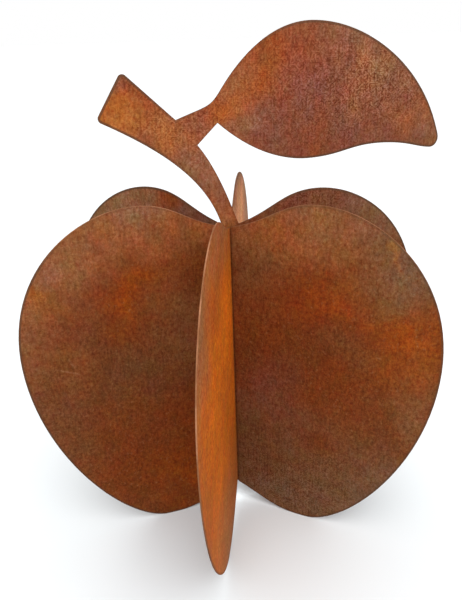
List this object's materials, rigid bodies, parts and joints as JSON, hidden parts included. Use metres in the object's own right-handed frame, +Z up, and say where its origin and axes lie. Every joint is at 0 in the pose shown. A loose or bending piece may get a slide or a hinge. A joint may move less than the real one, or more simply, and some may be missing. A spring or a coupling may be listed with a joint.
{
  "type": "weathering steel apple sculpture",
  "caption": "Garden sculpture of an apple built from upright flat steel plates that cross at its centre, with a stem and a leaf cut in one with the widest plate, rusted all over.",
  "frame": {"origin": "middle of the plan on the ground the feet stand on", "axes": "+Z up; +X along the whole plate towards the leaf; the front and front right half plates are on the -Y side"},
  "size_m": [0.7146, 0.6488, 0.8701],
  "materials": {
    "rusted_steel": "matt weathering steel with a dry rust patina, orange and dark brown in soft blotches with a fine upright grain, uncoated"
  },
  "bodies": {
    "root": {"whole_plate": "rusted_steel", "front_plate": "rusted_steel", "front_right_plate": "rusted_steel", "back_plate": "rusted_steel", "back_left_plate": "rusted_steel"}
  },
  "joints": []
}
